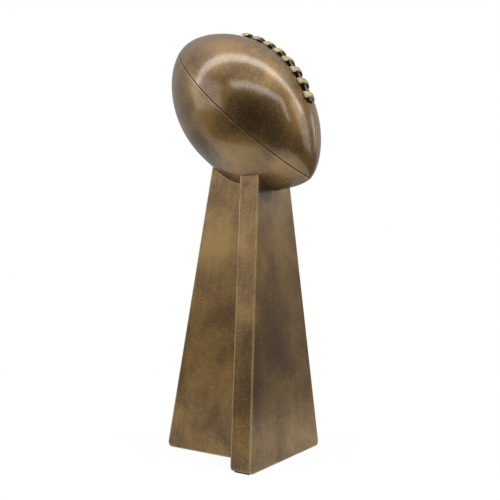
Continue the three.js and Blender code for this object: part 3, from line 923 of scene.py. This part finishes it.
def dress_hidden_nodes():
    """Gives the hardware that keeps its CAD shape a material of its own."""
    zinc = zinc_material()
    iron = iron_material()
    by_prefix = {
        "mounting_stud": zinc, "stud_": zinc, "base_screw": zinc,
        "front_ballast": iron, "rear_ballast": iron,
        "slab_dowel": wood_material(), "base_plate": board_material(),
    }
    for name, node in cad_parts.items():
        for prefix, material in by_prefix.items():
            if name.startswith(prefix):
                node.data.materials.clear()
                node.data.materials.append(material)


# ---------------------------------------------------------------- camera and studio
CAMERA_LENS = 45.0
CAMERA_AZIMUTH = math.radians(-56.0074)
CAMERA_ELEVATION = math.radians(-3.0065)
CAMERA_DISTANCE = 518.69 * MM
CAMERA_TARGET = Vector((0, -11.86, 170.04)) * MM
CAMERA_OFFSET = (-4.87 * MM, -3.48 * MM)  # to the camera's right, and up

# Softboxes aimed at the ball: degrees round from the camera and up, distance in metres, size in
# metres, and power in watts.
SOFTBOXES = (
    ("front_strip", 3, 40, 1.2, (1.3, 0.17), 2.3),
    ("right_strip", 43, 27, 1.2, (0.08, 0.5), 0.5),
    ("left_box", -71, 18, 1.5, (1.2, 0.9), 3.6),
    ("right_box", 75, 18, 1.4, (0.6, 0.95), 2.4),
    ("far_right_box", 114, 16, 1.5, (0.35, 0.5), 0.9),
)
OVERHEAD_SIZE = (4.1, 0.22)
OVERHEAD_POWER = 11
OVERHEAD_HEIGHT = 1.0  # above the ball's centre
OVERHEAD_FORWARD = 0.23  # towards the camera
OVERHEAD_ASIDE = 0.15  # to the camera's left

WORLD_DIM_AZIMUTH = math.radians(-43)  # the middle of the studio's dim side
WORLD_EDGE = (-0.26, -0.14)  # cosines from that azimuth between which white turns dim
WORLD_BACK_LEVEL = 0.36
WORLD_DIM_LEVEL = 0.05
CEILING_EDGE = (0.6, 0.85)  # sines of the heights between which the ceiling begins
CEILING_LEVEL = 0.5

FLOOR_LEFT = -350 * MM
FLOOR_RIGHT = 168 * MM
FLOOR_HALF_DEPTH = 600 * MM
FLOOR_GLOW = 0.55  # how bright the trophy sees the lit tabletop
FLOOR_WHITE = 0.9  # how bright the camera sees it


def direction(azimuth, elevation):
    """The unit vector towards an azimuth, turned from the front, and an elevation."""
    across = math.cos(elevation)
    return Vector((math.sin(azimuth) * across, -math.cos(azimuth) * across, math.sin(elevation)))


def camera_axes():
    """The camera's right, up and back."""
    back = direction(CAMERA_AZIMUTH, CAMERA_ELEVATION)
    right = Vector((math.cos(CAMERA_AZIMUTH), math.sin(CAMERA_AZIMUTH), 0))
    return right, back.cross(right), back


def add_camera():
    """A camera at the photograph's viewing angle."""
    right, up, back = camera_axes()
    data = bpy.data.cameras.new("photo_view")
    data.lens = CAMERA_LENS
    data.clip_start = 0.01
    data.clip_end = 50
    camera = bpy.data.objects.new("photo_view", data)
    place = CAMERA_TARGET + CAMERA_DISTANCE * back
    place += CAMERA_OFFSET[0] * right + CAMERA_OFFSET[1] * up
    turn = Matrix((right, up, back)).transposed().to_4x4()
    camera.matrix_world = Matrix.Translation(place) @ turn
    bpy.context.scene.collection.objects.link(camera)
    bpy.context.scene.camera = camera


def add_area_light(name, size, power, place, turn):
    """A rectangular light. Its turn takes +Z away from what it lights."""
    data = bpy.data.lights.new(name, "AREA")
    data.shape = "RECTANGLE"
    data.size, data.size_y = size
    data.energy = power
    light = bpy.data.objects.new(name, data)
    light.matrix_world = Matrix.Translation(place) @ turn.to_4x4()
    bpy.context.scene.collection.objects.link(light)


def add_softboxes():
    """Soft lights round the trophy, each facing the ball."""
    for name, around, up, distance, size, power in SOFTBOXES:
        away = direction(CAMERA_AZIMUTH + math.radians(around), math.radians(up))
        turn = away.to_track_quat("Z", "Y").to_matrix()
        add_area_light(name, size, power, BALL_CENTRE + distance * away, turn)


def add_overhead_strip():
    """A long strip light over the ball, across the camera's view."""
    right = camera_axes()[0]
    up = Vector((0, 0, 1))
    forward = right.cross(up)
    place = BALL_CENTRE + OVERHEAD_HEIGHT * up + OVERHEAD_FORWARD * forward
    place -= OVERHEAD_ASIDE * right
    turn = Matrix((right, -forward, up)).transposed()
    add_area_light("overhead_strip", OVERHEAD_SIZE, OVERHEAD_POWER, place, turn)


def add_studio_world():
    """White behind the object, a dim studio on the camera's side, and white to the camera."""
    world = bpy.data.worlds.new("studio")
    bpy.context.scene.world = world
    world.use_nodes = True
    nodes = Nodes(world.node_tree)
    background = nodes.tree.nodes["Background"]
    background.inputs["Color"].default_value = (1, 1, 1, 1)
    towards = nodes.add("TexCoord").outputs["Generated"]
    facing = nodes.add("VectorMath")
    facing.operation = "DOT_PRODUCT"
    facing.inputs[1].default_value = direction(WORLD_DIM_AZIMUTH, 0)
    nodes.link(towards, facing.inputs[0])
    sides = nodes.span(facing.outputs["Value"], *WORLD_EDGE, WORLD_BACK_LEVEL, WORLD_DIM_LEVEL)
    axes = nodes.add("SeparateXYZ")
    nodes.link(towards, axes.inputs["Vector"])
    ceiling = nodes.span(axes.outputs["Z"], *CEILING_EDGE, 0.0, CEILING_LEVEL)
    strength = nodes.add("Mix")
    nodes.link(nodes.add("LightPath").outputs["Is Camera Ray"], strength.inputs["Factor"])
    nodes.link(nodes.math("MAXIMUM", sides, ceiling), strength.inputs["A"])
    strength.inputs["B"].default_value = 1.0
    nodes.link(strength.outputs["Result"], background.inputs["Strength"])


def tabletop_material():
    """White paper, lit to white for the camera as in a studio cut-out."""
    s = Shader("white_tabletop")
    paper = s.noise(60, detail=3)
    colour = s.ramp(paper, (0.3, (0.14, 0.14, 0.14)), (0.7, (0.16, 0.16, 0.16)))
    roughness = s.span(paper, 0.3, 0.7, 0.9, 0.95)
    seen = s.add("LightPath").outputs["Is Camera Ray"]
    glow = s.span(seen, 0.0, 1.0, FLOOR_GLOW, FLOOR_WHITE)
    s.link(glow, s.bsdf.inputs["Emission Strength"])
    return s.finish(colour, roughness, s.bump(paper, 0.02, 0.1 * MM), Specular_IOR_Level=0.0,
                    Emission_Color=(1, 1, 1, 1))


def add_floor():
    """The tabletop, as a plain sheet under the trophy."""
    low = Vector((FLOOR_LEFT, -FLOOR_HALF_DEPTH))
    high = Vector((FLOOR_RIGHT, FLOOR_HALF_DEPTH))
    corners = [(low.x, low.y, 0), (high.x, low.y, 0), (high.x, high.y, 0), (low.x, high.y, 0)]
    mesh = bpy.data.meshes.new("tabletop")
    mesh.from_pydata(corners, [], [(0, 1, 2, 3)])
    mesh.materials.append(tabletop_material())
    floor = bpy.data.objects.new("tabletop", mesh)
    bpy.context.scene.collection.objects.link(floor)


def add_studio():
    """The world, the lights and a plain view transform."""
    add_studio_world()
    add_overhead_strip()
    add_softboxes()
    view = bpy.context.scene.view_settings
    view.view_transform = "Standard"
    view.look = "None"
    view.exposure = 0.0


# ---------------------------------------------------------------- the trophy
def build_trophy():
    """Every visible piece, and materials for the hidden ones."""
    ball_bronze = aged_bronze("aged_bronze_ball", streaks=0.08, gloss=0.44, coat_roughness=0.17,
                              coat_index=1.7, patches=BALL_PATCHES)
    tower_bronze = aged_bronze("aged_bronze_tower", streaks=0.16, gloss=0.45, coat_roughness=0.3,
                               coat_index=1.45, patches=TOWER_PATCHES)
    lace_gold = pale_lace("lace_pale_gold", (0.95, 0.80, 0.46), coat=0.3)
    # Its pale grey shows on the cord's shoulders as a painted highlight and on its rubbed knob
    # tops.
    cord_grey = pale_lace("lace_cord_grey", (0.62, 0.55, 0.47), coat=0.0)
    ball_shell("football_upper_shell", True, ball_bronze)
    ball_shell("football_lower_shell", False, ball_bronze)
    for index, along in enumerate(lace_places(), start=1):
        cross_lace(index, along, lace_gold)
    lace_cord(cord_grey)
    front_slab(tower_bronze)
    rear_stem(tower_bronze)
    felt_pad(felt_material())
    dress_hidden_nodes()


build_trophy()
add_camera()
add_studio()
add_floor()
